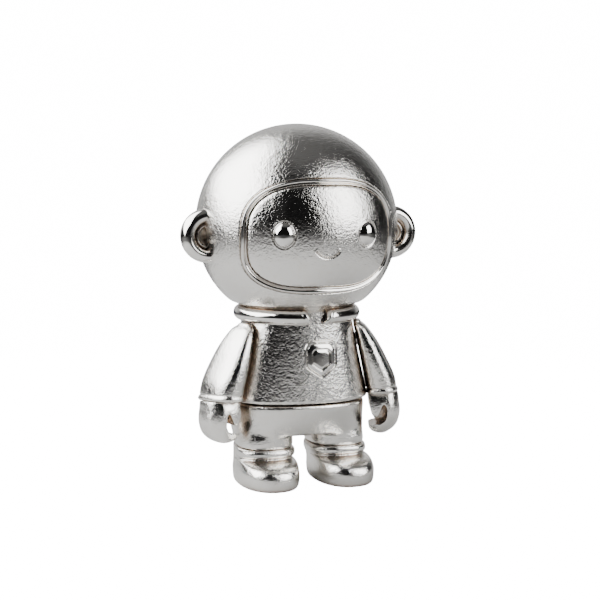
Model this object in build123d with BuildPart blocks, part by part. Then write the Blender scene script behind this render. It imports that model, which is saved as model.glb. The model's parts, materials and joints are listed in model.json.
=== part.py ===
from build123d import *
from math import copysign, cos, pi, radians, sin, sqrt, tan
import os

# A plated metal figure of an astronaut child, 100 mm tall, standing on its own boots.
# Millimetres. +Z is up, the figure faces -Y, its own left side is +X, and the soles lie on z = 0.

# ---- head ----
helmet_radius = 28.3
helmet_centre_z = 71.7
helmet_wall = 2.2
helmet_floor_z = 50.0
helmet_floor_wall = 2.2
helmet_floor_round = 0.8
helmet_parting_y = -3.0
helmet_pin_radius = 0.5
helmet_pin_length = 6.0

visor_half_width = 21.6
visor_half_height = 15.5
visor_centre_drop = 1.7
visor_power_above = 2.6
visor_power_below = 2.9
visor_rim_width = 1.6
visor_rim_proud = 0.4
visor_rim_depth = 2.8
face_wall = 2.0

eye_half_width = 2.95
eye_half_height = 3.4
eye_spread = 11.7
eye_drop = 1.1
eye_proud = 1.1
eye_round = 0.9
eye_stem_depth = 2.6

smile_half_width = 3.1
smile_sag = 1.6
smile_drop = 5.6
smile_groove_width = 0.7
smile_groove_depth = 0.7

ear_centre_x = 26.7
ear_centre_y = -3.6
ear_drop = 2.2
ear_ring_radius = 5.45
ear_tube_radial = 2.05
ear_tube_depth = 3.1
ear_dish_thickness = 2.4
ear_stem_radius = 1.1
ear_stem_depth = 3.6

# ---- neck ----
neck_post_radius = 4.0
neck_bush_wall = 2.2
neck_bush_flange = 2.5
neck_bush_flange_wall = 1.4
neck_foot_radius = 7.0
neck_foot_wall = 1.6

# ---- clips in the grooves of the neck and waist posts ----
clip_wall = 0.8
clip_proud = 2.0
clip_groove_depth = 0.8
post_tail = 1.4

# ---- torso ----
torso_top_z = 46.4
torso_hem_z = 23.4
torso_top_half_x = 14.9
torso_top_half_y = 14.6
torso_hem_half_x = 19.7
torso_hem_half_y = 15.6
torso_power = 2.35
torso_wall = 2.0
torso_hem_round = 0.9
torso_pin_radius = 0.5
torso_pin_length = 5.0
torso_pin_x_low = 11.5
torso_pin_x_high = 9.5
neck_rim_radius = 15.9
neck_rim_low_z = 45.0

collar_ring_radius = 15.75
collar_tube_radius = 2.05
collar_gap = 0.55
collar_notch_x = 1.0
collar_notch_top = 7.6
collar_notch_bottom = 3.6

badge_x = 2.3
badge_z = 35.6
badge_half_width = 5.0
badge_half_height = 5.6
badge_proud = 0.9
badge_stud_radius = 1.2
badge_dome_half_width = 2.6
badge_dome_half_height = 3.0
badge_dome_proud = 0.6

# ---- arms: each hangs in a plane that is toed in towards the front and tilted with the torso's side ----
arm_toe_in = 18.0
arm_tilt = 12.0
arm_gap = 0.4
arm_power = 2.4
shoulder_pivot_z = 39.6
shoulder_pivot_t = 0.8
shoulder_pin_radius = 1.8
shoulder_head_radius = 3.2
shoulder_head_wall = 1.2
shoulder_pin_seat = 3.6
shoulder_boss_wall = 0.8
shoulder_boss_depth = 3.8
# height, outer edge from the figure's axis, half depth, and middle, both along the arm's own plane
sleeve_top = (44.6, 18.2, 2.8, 0.7)
sleeve_shoulder = (43.0, 20.0, 4.7, 0.7)
sleeve_upper = (39.0, 22.9, 6.3, 1.0)
sleeve_middle = (34.0, 25.6, 7.4, 1.4)
sleeve_lower = (29.0, 27.8, 7.9, 1.9)
sleeve_cuff = (24.0, 28.7, 8.0, 2.2)
sleeve_end = (21.5, 28.9, 7.9, 2.3)
wrist_tilt = 6.0
wrist_n = 24.6
wrist_t = 2.6
wrist_z = 23.8
wrist_lean = 5.0
wrist_peg_radius = 1.5
wrist_peg_head_radius = 2.3
wrist_peg_head_wall = 1.2
wrist_peg_reach = 5.0
wrist_peg_seat = 3.0
hand_gap = 0.3
hand_half_t = 6.0
hand_round = 0.9
# outline of the cupped hand in the arm's plane, as (distance from the figure's axis, height)
hand_top_inner = (20.9, 25.0)
hand_top_outer = (28.0, 25.0)
hand_back_of_fingers = [(29.2, 21.5), (29.4, 18.0), (28.2, 14.8), (25.2, 12.5), (22.2, 12.8)]
hand_fingertip = (20.2, 14.9)
hand_notch = [(22.4, 15.3), (24.6, 15.3), (26.4, 16.6), (27.1, 18.8), (26.1, 20.3), (25.0, 19.2)]
hand_thumb_tip = (23.6, 17.2)
hand_back_of_thumb = [(21.8, 17.4), (21.1, 19.0), (20.8, 21.6)]

# ---- legs ----
waist_gap = 0.35
hips_inset = 0.6
hips_round = 0.8
hips_low_half_x = 18.6
hips_low_half_y = 12.6
crotch_z = 13.8
leg_gap = 5.2
leg_outer_x = 18.5
leg_front_y = -11.0
leg_back_y = 7.0
leg_corner = 6.2
ankle_z = 10.3
waist_post_radius = 4.0
waist_foot_radius = 6.5
waist_foot_wall = 1.5
waist_post_seat = 6.0

boot_band_height = 2.4
boot_band_proud = 0.5
boot_band_round = 1.0
boot_toe_x = 11.0
boot_toe_y = -11.5
boot_toe_radius = 8.4
boot_heel_x = 10.9
boot_heel_y = -0.3
boot_heel_radius = 8.4
boot_toe_height = 7.0
boot_sole_round = 2.0
boot_top_round = 3.0
boot_screw_radius = 1.2
boot_screw_head_radius = 2.3
boot_screw_head_height = 1.4
boot_screw_length = 14.0
boot_screw_recess = 0.4

# ---- fits ----
running_gap = 0.05
seat_gap = 0.03
face_gap = 0.2

# ---- places and directions that follow from the sizes above ----
visor_centre_z = helmet_centre_z - visor_centre_drop
collar_z = helmet_floor_z - collar_gap - collar_tube_radius
leg_centre = ((leg_outer_x + leg_gap / 2) / 2, (leg_front_y + leg_back_y) / 2)
leg_half = ((leg_outer_x - leg_gap / 2) / 2, (leg_back_y - leg_front_y) / 2)
trousers_top_z = torso_hem_z - waist_gap
boot_top_z = ankle_z - seat_gap
neck_rim_top_z = helmet_floor_z - collar_gap
sides = {"left": Plane.YZ, "right": Plane.ZY}
os.makedirs("parts", exist_ok=True)


def superellipse(half_x, half_y, power, centre=(0, 0), count=28, power_below=None):
    """Points round |x / half_x|^power + |y / half_y|^power = 1, moved to the centre."""
    points = []
    for step in range(count):
        turn = 2 * pi * step / count
        bend = power_below if power_below and sin(turn) < 0 else power
        across = copysign(abs(cos(turn)) ** (2 / bend), cos(turn))
        up = copysign(abs(sin(turn)) ** (2 / bend), sin(turn))
        points.append((centre[0] + half_x * across, centre[1] + half_y * up))
    return points


def visor_outline(inset):
    """Face opening in X and Z, squarer below its widest line than above it."""
    return superellipse(
        visor_half_width - inset,
        visor_half_height - inset,
        visor_power_above,
        (0, visor_centre_z),
        40,
        visor_power_below,
    )


def torso_half(z, inset=0.0):
    """Half width and half depth of the bell-shaped body at a height."""
    share = (torso_top_z - z) / (torso_top_z - torso_hem_z)
    half_x = torso_top_half_x + share * (torso_hem_half_x - torso_top_half_x)
    half_y = torso_top_half_y + share * (torso_hem_half_y - torso_top_half_y)
    return half_x - inset, half_y - inset


def bell(low_z, high_z, inset):
    """Solid of the body's bell shape between two heights, drawn in by an inset."""
    with BuildPart() as solid:
        for height in (low_z, high_z):
            with BuildSketch(Plane.XY.offset(height)):
                with BuildLine():
                    Spline(*superellipse(*torso_half(height, inset), torso_power), periodic=True)
                make_face()
        loft()
    return solid.part


def torso_reach(z):
    """How far the body reaches from its axis towards the arm's plane at a height."""
    half_x, half_y = torso_half(z)
    dual = torso_power / (torso_power - 1)
    across = half_x * cos(radians(arm_toe_in))
    along = half_y * sin(radians(arm_toe_in))
    return (across**dual + along**dual) ** (1 / dual)


arm_slope = tan(radians(arm_tilt))
arm_root_n = arm_gap + max(
    torso_reach(torso_top_z), torso_reach(torso_hem_z) - (torso_top_z - torso_hem_z) * arm_slope
)


def arm_face(z):
    """Distance of the sleeve's inner face from the figure's axis at a height."""
    return arm_root_n + (torso_top_z - z) * arm_slope


# The arm's own frame: n points away from the body, t points to the back, z is up.
toe = radians(arm_toe_in)
arm_plane = Plane(origin=(0, 0, 0), x_dir=(cos(toe), -sin(toe), 0), z_dir=(0, 0, 1))
shoulder_plane = Plane(
    origin=arm_plane.from_local_coords((arm_face(shoulder_pivot_z), shoulder_pivot_t, shoulder_pivot_z)),
    x_dir=(sin(toe), cos(toe), 0),
    z_dir=arm_plane.from_local_coords((cos(radians(arm_tilt)), 0, sin(radians(arm_tilt)))),
)
wrist_plane = Plane(
    origin=arm_plane.from_local_coords((wrist_n, wrist_t, wrist_z)),
    z_dir=arm_plane.from_local_coords((-tan(radians(wrist_tilt)), tan(radians(wrist_lean)), 1)),
)


def save(part, name):
    """Labels a finished piece and writes its STEP file."""
    part.label = name
    export_step(part, f"parts/{name}.step")


def save_pair(part, name):
    """Saves a left-hand piece and its mirror image on the right."""
    save(part, f"{name}_left")
    with BuildPart() as other:
        mirror(part, about=Plane.YZ)
    save(other.part, f"{name}_right")


# ---------------------------------------------------------------- helmet
with BuildPart() as helmet_cavity:
    with Locations((0, 0, helmet_centre_z)):
        Sphere(helmet_radius - helmet_wall)
    split(bisect_by=Plane.XY.offset(helmet_floor_z + helmet_floor_wall), keep=Keep.TOP)

with BuildPart() as visor_core:
    with BuildSketch(Plane.XZ):
        with BuildLine():
            Spline(*visor_outline(0), periodic=True)
        make_face()
    extrude(amount=helmet_radius + visor_rim_proud)

neck_hole_radius = neck_post_radius + running_gap + neck_bush_wall
helmet_pin_ring = sqrt((helmet_radius - helmet_wall / 2) ** 2 - helmet_parting_y**2) - 0.3

with BuildPart() as helmet_pins:
    with BuildSketch(Plane.XZ.offset(-helmet_parting_y - helmet_pin_length / 2)):
        with Locations((0, helmet_centre_z)):
            with PolarLocations(helmet_pin_ring, 4, 45):
                Circle(helmet_pin_radius)
    extrude(amount=helmet_pin_length)
save(helmet_pins.part, "helmet_pins")

with BuildPart() as helmet_shell:
    with Locations((0, 0, helmet_centre_z)):
        Sphere(helmet_radius)
    split(bisect_by=Plane.XY.offset(helmet_floor_z), keep=Keep.TOP)
    fillet(helmet_shell.faces().sort_by(Axis.Z)[0].edges(), helmet_floor_round)
    add(helmet_cavity.part, mode=Mode.SUBTRACT)
    with BuildSketch(Plane.XY.offset(helmet_floor_z - 1)):
        Circle(neck_hole_radius + seat_gap)
    extrude(amount=helmet_floor_wall + 2, mode=Mode.SUBTRACT)
    for plane in sides.values():
        with BuildSketch(plane.offset(ear_centre_x - ear_stem_depth)):
            with Locations(plane.to_local_coords((0, ear_centre_y, helmet_centre_z - ear_drop))):
                Circle(ear_stem_radius + seat_gap)
        extrude(amount=helmet_radius, mode=Mode.SUBTRACT)
    with BuildSketch(Plane.XZ.offset(-helmet_parting_y - helmet_pin_length / 2)):
        with Locations((0, helmet_centre_z)):
            with PolarLocations(helmet_pin_ring, 4, 45):
                Circle(helmet_pin_radius + seat_gap)
    extrude(amount=helmet_pin_length, mode=Mode.SUBTRACT)
    add(visor_core.part, mode=Mode.SUBTRACT)

with BuildPart() as helmet_front:
    add(helmet_shell.part)
    split(bisect_by=Plane.XZ.offset(-helmet_parting_y), keep=Keep.TOP)
save(helmet_front.part, "helmet_front")

with BuildPart() as helmet_back:
    add(helmet_shell.part)
    split(bisect_by=Plane.XZ.offset(-helmet_parting_y - seat_gap), keep=Keep.BOTTOM)
save(helmet_back.part, "helmet_back")

# ---------------------------------------------------------------- face
with BuildPart() as visor_ring:
    with BuildSketch(Plane.XZ):
        with BuildLine():
            Spline(*visor_outline(seat_gap), periodic=True)
        make_face()
        with BuildLine():
            Spline(*visor_outline(visor_rim_width), periodic=True)
        make_face(mode=Mode.SUBTRACT)
    extrude(amount=helmet_radius + visor_rim_proud)
    with Locations((0, 0, helmet_centre_z)):
        Sphere(helmet_radius + visor_rim_proud, mode=Mode.INTERSECT)
        Sphere(helmet_radius - visor_rim_depth, mode=Mode.SUBTRACT)
save(visor_ring.part, "visor_ring")

eye_out = Vector(eye_spread, -sqrt(helmet_radius**2 - eye_spread**2 - eye_drop**2), -eye_drop).normalized()
eye_plane = Plane(
    origin=Vector(0, 0, helmet_centre_z) + eye_out * helmet_radius,
    x_dir=(-eye_out.Y, eye_out.X, 0),
    z_dir=eye_out,
)
with BuildPart() as eye:
    with BuildSketch(eye_plane.offset(-eye_stem_depth)):
        Ellipse(eye_half_width, eye_half_height)
    extrude(amount=eye_stem_depth + eye_proud)
    fillet(eye.faces().sort_by(Axis(eye_plane.origin, eye_out))[-1].edges(), eye_round)
save_pair(eye.part, "eye")

with BuildPart() as eye_socket:
    with BuildSketch(eye_plane.offset(-eye_stem_depth - 1)):
        Ellipse(eye_half_width + seat_gap, eye_half_height + seat_gap)
    extrude(amount=eye_stem_depth + eye_proud + 1)
    mirror(about=Plane.YZ)

smile_low_z = helmet_centre_z - smile_drop - smile_sag
smile_floor = sqrt(helmet_radius**2 - (smile_drop + smile_sag) ** 2) - smile_groove_depth
with BuildPart() as face_plate:
    with BuildSketch(Plane.XZ):
        with BuildLine():
            Spline(*visor_outline(visor_rim_width + seat_gap), periodic=True)
        make_face()
    extrude(amount=helmet_radius)
    with Locations((0, 0, helmet_centre_z)):
        Sphere(helmet_radius, mode=Mode.INTERSECT)
        Sphere(helmet_radius - face_wall, mode=Mode.SUBTRACT)
    add(eye_socket.part, mode=Mode.SUBTRACT)
    with BuildSketch(Plane.XZ.offset(smile_floor)):
        smile_arc = ThreePointArc(
            (-smile_half_width, smile_low_z + smile_sag),
            (0, smile_low_z),
            (smile_half_width, smile_low_z + smile_sag),
            mode=Mode.PRIVATE,
        )
        SlotArc(smile_arc, smile_groove_width)
    extrude(amount=helmet_radius - smile_floor, mode=Mode.SUBTRACT)
save(face_plate.part, "face_plate")

# ---------------------------------------------------------------- ears
ear_centre = (ear_centre_x, ear_centre_y, helmet_centre_z - ear_drop)
with BuildPart() as ear_ring:
    with BuildSketch(Plane(origin=ear_centre)):
        with Locations((ear_ring_radius, 0)):
            Ellipse(ear_tube_radial, ear_tube_depth)
    revolve(axis=Axis(ear_centre, (0, 1, 0)))
    with Locations((0, 0, helmet_centre_z)):
        Sphere(helmet_radius + seat_gap, mode=Mode.SUBTRACT)
save_pair(ear_ring.part, "ear_ring")

with BuildPart() as ear_dish:
    with BuildSketch(Plane.XZ.offset(-ear_centre_y)):
        with Locations((ear_centre_x, helmet_centre_z - ear_drop)):
            Circle(ear_ring_radius - ear_tube_radial - seat_gap)
    extrude(amount=ear_dish_thickness / 2, both=True)
    with Locations((0, 0, helmet_centre_z)):
        Sphere(helmet_radius + seat_gap, mode=Mode.SUBTRACT)
    with BuildSketch(Plane.YZ.offset(ear_centre_x - ear_stem_depth)):
        with Locations((ear_centre_y, helmet_centre_z - ear_drop)):
            Circle(ear_stem_radius)
    extrude(amount=ear_stem_depth + ear_ring_radius - ear_tube_radial - 1)
save_pair(ear_dish.part, "ear_dish")

# ---------------------------------------------------------------- neck
neck_bush_top_z = helmet_floor_z + helmet_floor_wall + neck_bush_flange_wall
with BuildPart() as neck_socket:
    with BuildSketch(Plane.XY.offset(helmet_floor_z)):
        Circle(neck_hole_radius)
    extrude(amount=helmet_floor_wall + neck_bush_flange_wall)
    with BuildSketch(Plane.XY.offset(helmet_floor_z + helmet_floor_wall)):
        Circle(neck_hole_radius + neck_bush_flange)
    extrude(amount=neck_bush_flange_wall)
    with BuildSketch(Plane.XY.offset(helmet_floor_z)):
        Circle(neck_post_radius + running_gap)
    extrude(amount=helmet_floor_wall + neck_bush_flange_wall, mode=Mode.SUBTRACT)
save(neck_socket.part, "neck_socket")


def clip(post_radius, seat_z, name):
    """Open ring that snaps into a post's groove and lies just above a seat."""
    with BuildPart() as ring:
        with BuildSketch(Plane.XY.offset(seat_z + face_gap)):
            Circle(post_radius + clip_proud)
            Circle(post_radius - clip_groove_depth + seat_gap, mode=Mode.SUBTRACT)
            with Locations((0, post_radius + clip_proud)):
                Rectangle(post_radius, 2 * post_radius + clip_proud, mode=Mode.SUBTRACT)
        extrude(amount=clip_wall)
    save(ring.part, name)


clip(neck_post_radius, neck_bush_top_z, "neck_clip")
neck_groove_z = neck_bush_top_z + face_gap - running_gap
neck_foot_z = neck_rim_low_z - torso_wall - seat_gap - neck_foot_wall
neck_post_top_z = neck_groove_z + clip_wall + post_tail
with BuildPart() as neck_post:
    with BuildSketch(Plane.XY.offset(neck_foot_z)):
        Circle(neck_foot_radius)
    extrude(amount=neck_foot_wall)
    with BuildSketch(Plane.XY.offset(neck_foot_z)):
        Circle(neck_post_radius)
    extrude(amount=neck_post_top_z - neck_foot_z)
    with BuildSketch(Plane.XY.offset(neck_rim_top_z + seat_gap)):
        Circle(neck_hole_radius)
    extrude(amount=helmet_floor_z - face_gap - neck_rim_top_z - seat_gap)
    with BuildSketch(Plane.XY.offset(neck_groove_z)):
        Circle(neck_post_radius + 1)
        Circle(neck_post_radius - clip_groove_depth, mode=Mode.SUBTRACT)
    extrude(amount=clip_wall + 2 * running_gap, mode=Mode.SUBTRACT)
save(neck_post.part, "neck_post")

# ---------------------------------------------------------------- collar
with BuildPart() as collar_notch:
    with BuildSketch(Plane.XZ):
        with BuildLine():
            Polyline(
                (collar_notch_x - collar_notch_bottom / 2, collar_z - collar_tube_radius),
                (collar_notch_x + collar_notch_bottom / 2, collar_z - collar_tube_radius),
                (collar_notch_x + collar_notch_top / 2, collar_z + collar_tube_radius),
                (collar_notch_x - collar_notch_top / 2, collar_z + collar_tube_radius),
                close=True,
            )
        make_face()
    extrude(amount=collar_ring_radius + 2 * collar_tube_radius)

with BuildPart() as collar_ring:
    with Locations((0, 0, collar_z)):
        Torus(collar_ring_radius, collar_tube_radius)
    add(collar_notch.part, mode=Mode.SUBTRACT)
save(collar_ring.part, "collar_ring")

with BuildPart() as collar_seat:
    with Locations((0, 0, collar_z)):
        Torus(collar_ring_radius, collar_tube_radius + seat_gap)
    add(collar_notch.part, mode=Mode.SUBTRACT)

# ---------------------------------------------------------------- torso
with BuildPart() as torso_body:
    add(bell(torso_hem_z, torso_top_z, 0))
    fillet(torso_body.faces().sort_by(Axis.Z)[0].edges(), torso_hem_round)
    with BuildSketch(Plane.XY.offset(neck_rim_low_z)):
        Circle(neck_rim_radius)
    extrude(amount=neck_rim_top_z - neck_rim_low_z)

torso_parting_y = shoulder_plane.origin.Y
torso_pin_spots = [
    (torso_pin_x_low, torso_hem_z + torso_wall / 2),
    (-torso_pin_x_low, torso_hem_z + torso_wall / 2),
    (torso_pin_x_high, neck_rim_low_z - torso_wall / 2),
    (-torso_pin_x_high, neck_rim_low_z - torso_wall / 2),
]
with BuildPart() as torso_pins:
    with BuildSketch(Plane.XZ.offset(-torso_parting_y - torso_pin_length / 2)):
        with Locations(*torso_pin_spots):
            Circle(torso_pin_radius)
    extrude(amount=torso_pin_length)
save(torso_pins.part, "torso_pins")

with BuildPart() as shoulder_boss:
    with BuildSketch(shoulder_plane.offset(-shoulder_boss_depth)):
        Circle(shoulder_head_radius + shoulder_boss_wall)
    extrude(amount=shoulder_boss_depth)
    mirror(about=Plane.YZ)
    add(torso_body.part, mode=Mode.INTERSECT)

with BuildPart() as shoulder_bore:
    with BuildSketch(shoulder_plane.offset(-shoulder_boss_depth - 1)):
        Circle(shoulder_pin_radius + running_gap)
    extrude(amount=shoulder_boss_depth + 2)
    mirror(about=Plane.YZ)

torso_front_y = torso_half(badge_z)[1]
with BuildPart() as badge_stud:
    with BuildSketch(Plane.XZ.offset(torso_front_y - torso_wall - 1)):
        with Locations((badge_x, badge_z)):
            Circle(badge_stud_radius + seat_gap)
    extrude(amount=torso_wall + 2)

with BuildPart() as torso_shell:
    add(torso_body.part)
    add(bell(torso_hem_z + torso_wall, neck_rim_low_z - torso_wall, torso_wall), mode=Mode.SUBTRACT)
    add(shoulder_boss.part)
    add(shoulder_bore.part, mode=Mode.SUBTRACT)
    add(collar_seat.part, mode=Mode.SUBTRACT)
    add(badge_stud.part, mode=Mode.SUBTRACT)
    with BuildSketch(Plane.XY.offset(torso_hem_z)):
        Circle(waist_post_radius + running_gap)
    extrude(amount=torso_wall, mode=Mode.SUBTRACT)
    with BuildSketch(Plane.XY.offset(neck_rim_low_z - torso_wall)):
        Circle(neck_post_radius + seat_gap)
    extrude(amount=neck_rim_top_z - neck_rim_low_z + torso_wall, mode=Mode.SUBTRACT)
    with BuildSketch(Plane.XZ.offset(-torso_parting_y - torso_pin_length / 2)):
        with Locations(*torso_pin_spots):
            Circle(torso_pin_radius + seat_gap)
    extrude(amount=torso_pin_length, mode=Mode.SUBTRACT)

with BuildPart() as torso_front:
    add(torso_shell.part)
    split(bisect_by=Plane.XZ.offset(-torso_parting_y), keep=Keep.TOP)
save(torso_front.part, "torso_front")

with BuildPart() as torso_back:
    add(torso_shell.part)
    split(bisect_by=Plane.XZ.offset(-torso_parting_y - seat_gap), keep=Keep.BOTTOM)
save(torso_back.part, "torso_back")

# ---------------------------------------------------------------- badge
with BuildPart() as badge:
    with BuildSketch(Plane.XZ.offset(torso_front_y / 2)):
        with Locations((badge_x, badge_z)):
            Ellipse(badge_half_width, badge_half_height)
    extrude(amount=torso_front_y)
    add(bell(torso_hem_z, torso_top_z, -badge_proud), mode=Mode.INTERSECT)
    with BuildSketch(Plane.XZ.offset(torso_front_y)):
        with Locations((badge_x, badge_z)):
            Ellipse(badge_dome_half_width, badge_dome_half_height)
    extrude(amount=badge_proud + badge_dome_proud)
    fillet(badge.faces().sort_by(Axis.Y)[0].edges(), badge_dome_proud * 0.9)
    add(bell(torso_hem_z, torso_top_z, -seat_gap), mode=Mode.SUBTRACT)
    with BuildSketch(Plane.XZ.offset(torso_front_y - torso_wall)):
        with Locations((badge_x, badge_z)):
            Circle(badge_stud_radius)
    extrude(amount=torso_wall + badge_proud / 2)
save(badge.part, "badge")

# ---------------------------------------------------------------- arms
sleeve_sections = [
    sleeve_top,
    sleeve_shoulder,
    sleeve_upper,
    sleeve_middle,
    sleeve_lower,
    sleeve_cuff,
    sleeve_end,
]
with BuildPart() as sleeve:
    for height, outer, half_depth, middle in sleeve_sections:
        half_width = (outer - arm_face(height)) / 2
        centre = (outer - half_width, middle)
        with BuildSketch(arm_plane.offset(height)):
            with BuildLine():
                Spline(*superellipse(half_width, half_depth, arm_power, centre), periodic=True)
            make_face()
    loft()
    split(bisect_by=wrist_plane, keep=Keep.TOP)
    fillet(sleeve.faces().sort_by(Axis.Z)[0].edges(), torso_hem_round)
    with BuildSketch(shoulder_plane):
        Circle(shoulder_pin_radius + seat_gap)
    extrude(amount=shoulder_pin_seat, mode=Mode.SUBTRACT)
    with BuildSketch(wrist_plane):
        Circle(wrist_peg_radius + running_gap)
    extrude(amount=wrist_peg_reach, mode=Mode.SUBTRACT)
    with BuildSketch(wrist_plane.offset(wrist_peg_reach)):
        Circle(wrist_peg_head_radius + running_gap)
    extrude(amount=wrist_peg_head_wall + 2 * face_gap, mode=Mode.SUBTRACT)
save_pair(sleeve.part, "sleeve")

with BuildPart() as shoulder_pin:
    with BuildSketch(shoulder_plane.offset(-shoulder_boss_depth - face_gap - shoulder_head_wall)):
        Circle(shoulder_head_radius)
    extrude(amount=shoulder_head_wall)
    with BuildSketch(shoulder_plane.offset(-shoulder_boss_depth - face_gap - shoulder_head_wall)):
        Circle(shoulder_pin_radius)
    extrude(amount=shoulder_boss_depth + face_gap + shoulder_head_wall + shoulder_pin_seat)
save_pair(shoulder_pin.part, "shoulder_pin")

with BuildPart() as wrist_peg:
    with BuildSketch(wrist_plane.offset(-hand_gap - wrist_peg_seat)):
        Circle(wrist_peg_radius)
    extrude(amount=wrist_peg_seat + hand_gap + wrist_peg_reach + face_gap)
    with BuildSketch(wrist_plane.offset(wrist_peg_reach + face_gap)):
        Circle(wrist_peg_head_radius)
    extrude(amount=wrist_peg_head_wall)
save_pair(wrist_peg.part, "wrist_peg")

hand_plane = Plane(
    origin=arm_plane.from_local_coords((0, wrist_t, 0)),
    x_dir=arm_plane.x_dir,
    z_dir=arm_plane.from_local_coords((0, -1, 0)),
)
with BuildPart() as hand:
    with BuildSketch(hand_plane):
        with BuildLine():
            Line(hand_top_inner, hand_top_outer)
            Spline(hand_top_outer, *hand_back_of_fingers, hand_fingertip)
            Spline(hand_fingertip, *hand_notch, hand_thumb_tip)
            Spline(hand_thumb_tip, *hand_back_of_thumb, hand_top_inner)
        make_face()
    extrude(amount=hand_half_t, both=True)
    split(bisect_by=wrist_plane.offset(-hand_gap), keep=Keep.BOTTOM)
    fillet(hand.faces().filter_by(GeomType.PLANE).sort_by(Axis.Z)[:2].edges(), hand_round)
    with BuildSketch(wrist_plane.offset(-hand_gap - wrist_peg_seat)):
        Circle(wrist_peg_radius + seat_gap)
    extrude(amount=wrist_peg_seat, mode=Mode.SUBTRACT)
save_pair(hand.part, "hand")

# ---------------------------------------------------------------- trousers
waist_post_low_z = trousers_top_z - waist_post_seat
with BuildPart() as trousers:
    for height, half_x, half_y in (
        (trousers_top_z, *torso_half(torso_hem_z, hips_inset)),
        (crotch_z, hips_low_half_x, hips_low_half_y),
    ):
        with BuildSketch(Plane.XY.offset(height)):
            with BuildLine():
                Spline(*superellipse(half_x, half_y, torso_power), periodic=True)
            make_face()
    loft()
    fillet(trousers.faces().sort_by(Axis.Z)[-1].edges(), hips_round)
    for side in (1, -1):
        with BuildSketch(Plane.XY.offset(ankle_z)):
            with Locations((side * leg_centre[0], leg_centre[1])):
                RectangleRounded(2 * leg_half[0], 2 * leg_half[1], leg_corner)
        extrude(amount=crotch_z - ankle_z)
    with BuildSketch(Plane.XY.offset(waist_post_low_z)):
        Circle(waist_post_radius + seat_gap)
    extrude(amount=waist_post_seat, mode=Mode.SUBTRACT)
    with BuildSketch(Plane.XY.offset(trousers_top_z - waist_foot_wall)):
        Circle(waist_foot_radius + seat_gap)
    extrude(amount=waist_foot_wall, mode=Mode.SUBTRACT)
    with BuildSketch(Plane.XY.offset(ankle_z)):
        with Locations((leg_centre[0], leg_centre[1]), (-leg_centre[0], leg_centre[1])):
            Circle(boot_screw_radius + seat_gap)
    extrude(amount=boot_screw_length - ankle_z + seat_gap + boot_screw_recess, mode=Mode.SUBTRACT)
save(trousers.part, "trousers")

# ---------------------------------------------------------------- waist
waist_clip_z = torso_hem_z + torso_wall
clip(waist_post_radius, waist_clip_z, "waist_clip")
waist_groove_z = waist_clip_z + face_gap - running_gap
with BuildPart() as waist_post:
    with BuildSketch(Plane.XY.offset(waist_post_low_z + seat_gap)):
        Circle(waist_post_radius)
    extrude(amount=waist_groove_z + clip_wall + post_tail - waist_post_low_z)
    with BuildSketch(Plane.XY.offset(trousers_top_z - waist_foot_wall + seat_gap)):
        Circle(waist_foot_radius)
    extrude(amount=waist_foot_wall + waist_gap - running_gap - seat_gap)
    with BuildSketch(Plane.XY.offset(waist_groove_z)):
        Circle(waist_post_radius + 1)
        Circle(waist_post_radius - clip_groove_depth, mode=Mode.SUBTRACT)
    extrude(amount=clip_wall + 2 * running_gap, mode=Mode.SUBTRACT)
save(waist_post.part, "waist_post")

# ---------------------------------------------------------------- boots
boot_band_z = boot_top_z - boot_band_height
with BuildPart() as boot_band:
    with BuildSketch(Plane.XY.offset(boot_band_z)):
        with Locations(leg_centre):
            RectangleRounded(
                2 * (leg_half[0] + boot_band_proud),
                2 * (leg_half[1] + boot_band_proud),
                leg_corner + boot_band_proud,
            )
    extrude(amount=boot_band_height)
    fillet(boot_band.faces().filter_by(Axis.Z).edges(), boot_band_round)

with BuildPart() as boot:
    with BuildSketch(Plane.XY):
        with Locations((boot_toe_x, boot_toe_y)):
            Circle(boot_toe_radius)
        with Locations((boot_heel_x, boot_heel_y)):
            Circle(boot_heel_radius)
        make_hull()
    extrude(amount=boot_toe_height)
    fillet(boot.faces().sort_by(Axis.Z)[-1].edges(), boot_top_round)
    fillet(boot.faces().sort_by(Axis.Z)[0].edges(), boot_sole_round)
    with BuildSketch(Plane.XY.offset(boot_sole_round)):
        with Locations(leg_centre):
            RectangleRounded(2 * leg_half[0], 2 * leg_half[1], leg_corner)
    extrude(amount=boot_top_z - boot_band_height / 2 - boot_sole_round)
    add(boot_band.part)
    with BuildSketch(Plane.XY):
        with Locations(leg_centre):
            Circle(boot_screw_radius + seat_gap)
    extrude(amount=boot_top_z, mode=Mode.SUBTRACT)
    with BuildSketch(Plane.XY):
        with Locations(leg_centre):
            Circle(boot_screw_head_radius + seat_gap)
    extrude(amount=boot_screw_head_height + boot_screw_recess + seat_gap, mode=Mode.SUBTRACT)
save_pair(boot.part, "boot")

with BuildPart() as boot_screws:
    for side in (1, -1):
        with BuildSketch(Plane.XY.offset(boot_screw_recess)):
            with Locations((side * leg_centre[0], leg_centre[1])):
                Circle(boot_screw_head_radius)
                RegularPolygon(boot_screw_radius, 6, mode=Mode.SUBTRACT)
        extrude(amount=boot_screw_head_height)
        with BuildSketch(Plane.XY.offset(boot_screw_recess + boot_screw_head_height / 2)):
            with Locations((side * leg_centre[0], leg_centre[1])):
                Circle(boot_screw_radius)
        extrude(amount=boot_screw_length - boot_screw_head_height / 2)
save(boot_screws.part, "boot_screws")
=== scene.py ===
"""Looks of a plated metal toy astronaut: smooth cast skins over the CAD frame, in a pale studio."""

import json
import logging
import math
from dataclasses import dataclass
from enum import Enum

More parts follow.
